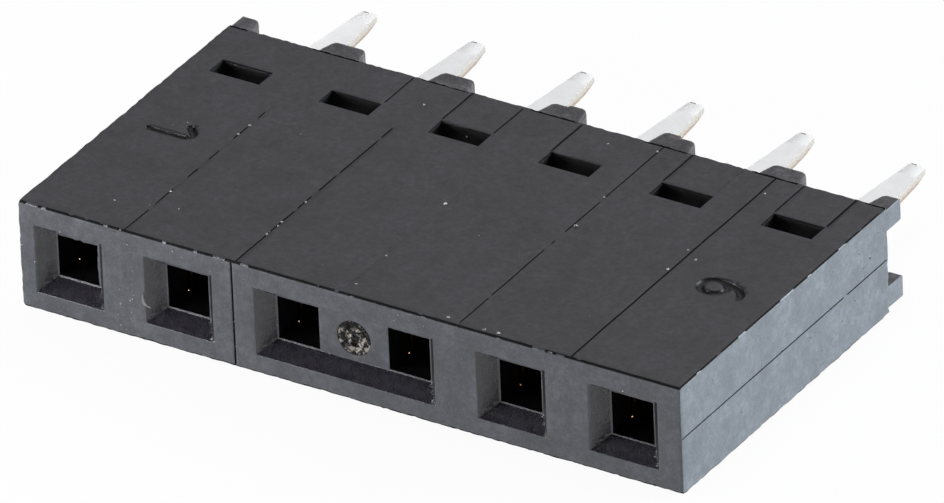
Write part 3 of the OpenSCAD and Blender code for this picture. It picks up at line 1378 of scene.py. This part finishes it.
@dataclass
class Dust:
    """Pale flecks along the mould lines and edges, and one curled fibre on the mating face."""

    front: float
    height: float
    end: float = 7.57
    seed: int = 7
    fibre_radius: float = 0.021
    fibre_start: Place = (-4.73, 0, 1.09)
    fibre_end: Place = (-4.56, 0, 0.8)
    fibre_bow: Place = (-0.055, 0, -0.045)
    shrink: float = 0.85
    squat: float = 0.75
    sheer: float = 0.25

    def on_top(self, x: float, y: float) -> Place:
        """Place on the wide face, so far behind the mating face."""
        return (x, self.front + y, self.height)

    def on_front(self, x: float, z: float) -> Place:
        """Place on the mating face."""
        return (x, self.front, z)

    def on_end(self, y: float, z: float) -> Place:
        """Place on the right end, so far behind the mating face."""
        return (self.end, self.front + y, z)

    def specks(self) -> list[Speck]:
        """Lists the flecks that the part shows, then the chance ones.

        Returns:
            The flecks.
        """
        top = [
            (-5.1, 4.6, 0.03), (-5.12, 4.2, 0.026), (-5.1, 1.7, 0.026), (-4.6, 1.2, 0.02), (-5.9, 0.9, 0.02),
            (-2.55, 2.6, 0.028), (-2.56, 1.73, 0.024), (-2.54, 1.56, 0.024), (-2.57, 1.2, 0.034),
            (-2.5, 6.9, 0.03), (-0.1, 3.83, 0.036), (-0.07, 1.6, 0.022), (-0.02, 0.4, 0.026),
            (2.6, 4.3, 0.052), (2.51, 5.5, 0.022), (2.51, 7.5, 0.03), (2.23, 0.17, 0.036),
            (5.03, 3.74, 0.03), (5.33, 4.3, 0.03), (5.0, 4.55, 0.02), (1.5, 7.3, 0.026), (5.2, 7.1, 0.024),
            (3.1, 0.1, 0.04), (3.4, 0.12, 0.036),
        ]
        mating = [
            (-5.35, 2.3, 0.022), (-5.05, 2.1, 0.024), (-5.27, 0.7, 0.026), (-5.22, 0.45, 0.018),
            (-7.52, 1.4, 0.024), (-7.24, 1.1, 0.022), (-3.17, 0.475, 0.03), (-2.62, 1.03, 0.018),
            (-2.62, 0.47, 0.018), (6.28, 1.98, 0.024), (-4.9, 1.95, 0.02), (-6.6, 1.95, 0.02),
            (-5.3, 0.2, 0.018), (-3.98, 2.24, 0.026),
        ]
        soot = [
            (3.75, 1.25, 0.03), (4.8, 1.0, 0.02), (6.0, 0.75, 0.02), (7.1, 1.6, 0.032), (6.85, 1.5, 0.02),
            (6.5, 0.95, 0.018), (5.2, 0.5, 0.016), (2.2, 0.7, 0.016), (6.7, 1.9, 0.022),
        ]
        flecks = [Speck(self.on_top(x, y), size) for x, y, size in top]
        flecks += [Speck(self.on_end(y, z), size, True) for y, z, size in soot]
        flecks += [Speck(self.on_front(x, z), size) for x, z, size in mating]
        return flecks + self.chance_specks()

    def chance_specks(self) -> list[Speck]:
        """Spreads small flecks by seeded chance over the faces that the part shows.

        Returns:
            The flecks.
        """
        chance = random.Random(self.seed)
        flecks = []
        for _ in range(10):
            place = self.on_top(chance.uniform(-7.3, 7.3), chance.uniform(0.2, 7.5))
            flecks.append(Speck(place, chance.uniform(0.009, 0.016)))
        for _ in range(8):
            x = chance.uniform(-7.4, 7.4)
            z = chance.choice((chance.uniform(0.08, 0.38), chance.uniform(2.0, 2.3)))
            flecks.append(Speck(self.on_front(x, z), chance.uniform(0.009, 0.015)))
        for _ in range(46):
            place = self.on_end(chance.uniform(0.3, 7.6), chance.uniform(0.08, 2.3))
            flecks.append(Speck(place, chance.uniform(0.005, 0.014), True))
        for _ in range(16):
            place = self.on_front(chance.uniform(-5.4, -4.95), chance.uniform(0.1, 2.3))
            flecks.append(Speck(place, chance.uniform(0.009, 0.018)))
        for _ in range(8):
            place = self.on_end(chance.uniform(0.3, 7.4), chance.uniform(0.2, 2.2))
            flecks.append(Speck(place, chance.uniform(0.009, 0.018)))
        return flecks

    def add_speck(self, bm: Mesh, speck: Speck) -> None:
        """Adds one fleck as a small uneven crumb.

        Args:
            bm: The mesh that takes it, in mm.
            speck: The fleck.
        """
        made = bmesh.ops.create_icosphere(bm, subdivisions=2, radius=speck.size * self.shrink)["verts"]
        seat = Vector(speck.place)
        for vert in made:
            rough = noise.noise(vert.co.normalized() * 1.3 + seat * 3)
            vert.co *= 1 + 0.9 * rough
            vert.co.z *= self.squat
            if speck.dark:
                vert.co.x *= self.sheer
            vert.co += seat
        for face in {face for vert in made for face in vert.link_faces}:
            face.material_index = 2 if speck.dark else 0

    def add_fibre(self, bm: Mesh) -> None:
        """Adds the curled fibre beside the second way.

        Args:
            bm: The mesh that takes it, in mm.
        """
        sides, steps, wobble = 8, 14, 0.002
        start, end, bow = Vector(self.fibre_start), Vector(self.fibre_end), Vector(self.fibre_bow)
        centre, off_face = start.lerp(end, 0.5), Vector((0, 1, 0))
        rings = []
        for i in range(steps + 1):
            share = i / steps
            swell = math.sin(math.pi * share)
            place = start.lerp(end, share) + bow * swell
            place.y = self.front - self.fibre_radius * (1 + 1.5 * swell)
            radius = self.fibre_radius * (0.5 + 0.7 * math.sin(math.pi * min(share * 1.2, 1.0)))
            away = (place - centre).normalized()
            along = (place - centre).cross(off_face).normalized()
            middle = place + along * wobble * math.sin(9 * share)
            rings.append(ring_of(bm, middle, away, off_face, radius, sides))
        skin_rings(bm, rings)

    def build(self, crumb: Material, thread: Material, soot: Material) -> None:
        """Builds all flecks and the fibre as one piece.

        Args:
            crumb: Material of the pale flecks.
            thread: Material of the fibre.
            soot: Material of the dark flecks.
        """
        bm = bmesh.new()
        self.add_fibre(bm)
        for face in bm.faces:
            face.material_index = 1
        for speck in self.specks():
            self.add_speck(bm, speck)
        bmesh.ops.recalc_face_normals(bm, faces=bm.faces)
        finish_piece(piece_from(bm, "dust_flecks"), [crumb, thread, soot], 60)


@dataclass
class Contacts:
    """The six stamped and folded contacts. Sizes are in mm."""

    front: float
    tail_top: float = 1.27
    seat: float = 7.68
    beam_end: float = 3.9
    tip: float = 11.11
    edge: float = 0.012
    row_shift: float = -0.1
    taper: float = 1.7
    wider_tip: float = 0.05
    cut_length: float = 0.035
    coin_length: float = 0.5
    coin_height: float = 0.09
    coin_rows: tuple[float, ...] = (1.0, 0.75, 0.5, 0.3, 0.15)
    burr: float = 0.024
    burr_place: Place = (-0.575, 1.085, 0.68)
    burr_facing: Place = (0.465, -0.723, 0.51)

    def add_burr(self, bm: Mesh, way: int) -> None:
        """Adds a small bead at the front corner of a contact's left beam, in gold lighter than the beams', so
        that the glint lamp makes a bright spot on it, partly a painted highlight.

        Args:
            bm: The contact's mesh, in mm.
            way: Number of the contact.
        """
        known = set(bm.faces)
        facing = Vector(self.burr_facing).normalized()
        across, inside_y, up = self.burr_place
        seat = Vector((bay_x(way) + across, self.front + inside_y, up))
        for vert in bmesh.ops.create_icosphere(bm, subdivisions=3, radius=self.burr)["verts"]:
            proud = vert.co.dot(facing) - 0.6 * self.burr
            vert.co += seat - facing * max(proud, 0.0)
        for face in bm.faces:
            if face not in known:
                face.material_index = Zone.RUBBED.value

    def shape_tail(self, bm: Mesh, way: int) -> None:
        """Coins the lower side of a tail's tip and lets its right side taper a little less.

        Args:
            bm: The contact's mesh, in mm.
            way: Number of the contact.
        """
        right_of, under, curve = 0.05, 0.1, 1.4
        tip = self.front + self.tip
        slice_rows(bm, 1, [tip - self.coin_length * share for share in self.coin_rows])
        for vert in bm.verts:
            co = vert.co
            along = (co.y - tip + self.taper) / self.taper
            if along < 0:
                continue
            if co.x > bay_x(way) + self.row_shift + right_of:
                co.x += self.wider_tip * along
            left = max(tip - co.y, 0.0) / self.coin_length
            if left < 1 and co.z < self.tail_top - under:
                co.z += self.coin_height * (1 - left) ** curve

    def zone_of(self, face: bmesh.types.BMFace, way: int) -> Zone:
        """Tells which surface of the sheet a face is.

        Args:
            face: A face of a contact, in mm.
            way: Number of the contact.

        Returns:
            The zone.
        """
        middle, normal = face.calc_center_median(), face.normal
        inside_x = middle.x - bay_x(way)
        inside_y = middle.y - self.front
        # The gold part takes a darkened gold: painted shade inside the holes.
        if inside_y < self.beam_end:
            return Zone.GOLD
        level, hair, before_seat = 0.5, 0.01, 0.4
        facing_out = normal.y > 0.2 or inside_x < self.row_shift and normal.z > level
        if inside_y > self.tip - self.cut_length - hair and facing_out:
            return Zone.CUT
        if inside_y > self.seat - before_seat and abs(normal.z) < level:
            return Zone.SHEAR
        return Zone.TIN

    def build(self, finishes: dict[Zone, Material]) -> None:
        """Builds the six contacts.

        Args:
            finishes: The material of each zone.
        """
        for way in range(1, WAYS + 1):
            piece = solid_of(f"contact_{way}", f"contact_sheet_{way}")
            round_off(piece, self.edge, limit_method="ANGLE", angle_limit=math.radians(40))
            bm = bmesh.new()
            bm.from_mesh(piece.data)
            slice_rows(bm, 1, [self.front + self.tip - self.cut_length])
            slice_rows(bm, 0, [bay_x(way) + self.row_shift])
            self.shape_tail(bm, way)
            bm.normal_update()
            for face in bm.faces:
                face.material_index = self.zone_of(face, way).value
            self.add_burr(bm, way)
            bm.to_mesh(piece.data)
            bm.free()
            finish_piece(piece, [finishes[zone] for zone in Zone], 30)
            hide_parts(f"contact_{way}")


def plastic_finishes() -> dict[Skin, Material]:
    """Makes the housing's copies of the plastic, lighter or darker by face as painted light and painted
    shade.

    Returns:
        The material of each skin.
    """
    looks = {
        Skin.WIDE: Plastic("plastic_wide_face", linear(30, 29, 33), linear(53, 52, 58), 0.42, 0.5),
        # The mating face: a lighter copy of the plastic as painted light.
        Skin.MATING: Plastic("plastic_mating_face_painted_light", linear(42, 44, 52), linear(78, 81, 90), 0.35, 0.8),
        # The ends: a much lighter copy of the plastic as painted light.
        Skin.END: Plastic("plastic_end_face_painted_light", linear(87, 96, 105), linear(124, 133, 142), 0.35, 0.8),
        # The lead-ins: a darker copy of the plastic as painted shade.
        Skin.LEAD: Plastic("plastic_lead_in_painted_shade", linear(24, 22, 30), linear(36, 33, 44), 0.25, 0.8),
        # Holes, cavities and lead-in right walls: a near-black copy of the plastic as painted shade.
        Skin.CORE: Plastic("plastic_core_painted_shade", linear(14, 14, 15), linear(18, 18, 20), 0.45, 0.4),
        Skin.STANDOFF: Plastic("plastic_standoff", linear(34, 33, 36), linear(100, 98, 102), 0.45, 0.5),
        # Grooves, edge stretches, window rims and standoff steps: a near-black copy as painted shade; the
        # dark end flecks use it as their own colour.
        Skin.GROOVE: Plastic("plastic_groove_painted_shade_and_soot", linear(14, 14, 15), linear(24, 24, 26), 0.6, 0.1, 0.1),
    }
    return {skin: look.build() for skin, look in looks.items()}


def contact_finishes() -> dict[Zone, Material]:
    """Makes the contacts' finishes.

    Returns:
        The material of each zone.
    """
    looks = {
        Zone.TIN: Metal("tin_plate", linear(252, 251, 250), linear(242, 241, 239), 0.5, 0.1),
        Zone.SHEAR: ShearedEdge(),
        # Plated gold painted far darker, as shade inside the holes.
        Zone.GOLD: Metal("gold_flash_painted_shade", linear(124, 86, 42), linear(72, 48, 22), 0.26, 1.0),
        # The bead's gold is lighter than the beams' so that the glint lamp makes a bright spot: partly a
        # painted highlight.
        Zone.RUBBED: Metal("gold_glint_bead", linear(226, 190, 150), linear(206, 160, 116), 0.24, 1.0),
        Zone.CUT: Metal("cut_end", linear(132, 134, 138), linear(164, 160, 156), 0.5, 0.4),
    }
    return {zone: look.build() for zone, look in looks.items()}


def main() -> None:
    """Builds the studio and the pieces."""
    logging.basicConfig(level=logging.INFO, format="%(message)s")
    bpy.context.scene.view_settings.view_transform = "Standard"
    Camera().build()
    Studio().build()
    housing = Housing(frame_box("housing"))
    skins = plastic_finishes()
    housing.build(skins)
    sunk = 0.04
    scar_place = (housing.axis_shift, housing.front + housing.lead_depth + sunk, housing.axis_z)
    GateScar(scar_place).build(TornPlastic().build())
    Contacts(housing.front).build(contact_finishes())
    thread = Lint("white_fibre", linear(255, 254, 252), linear(240, 239, 236)).build()
    Dust(housing.front, housing.height).build(Lint().build(), thread, skins[Skin.GROOVE])


if __name__ == "__main__":
    main()
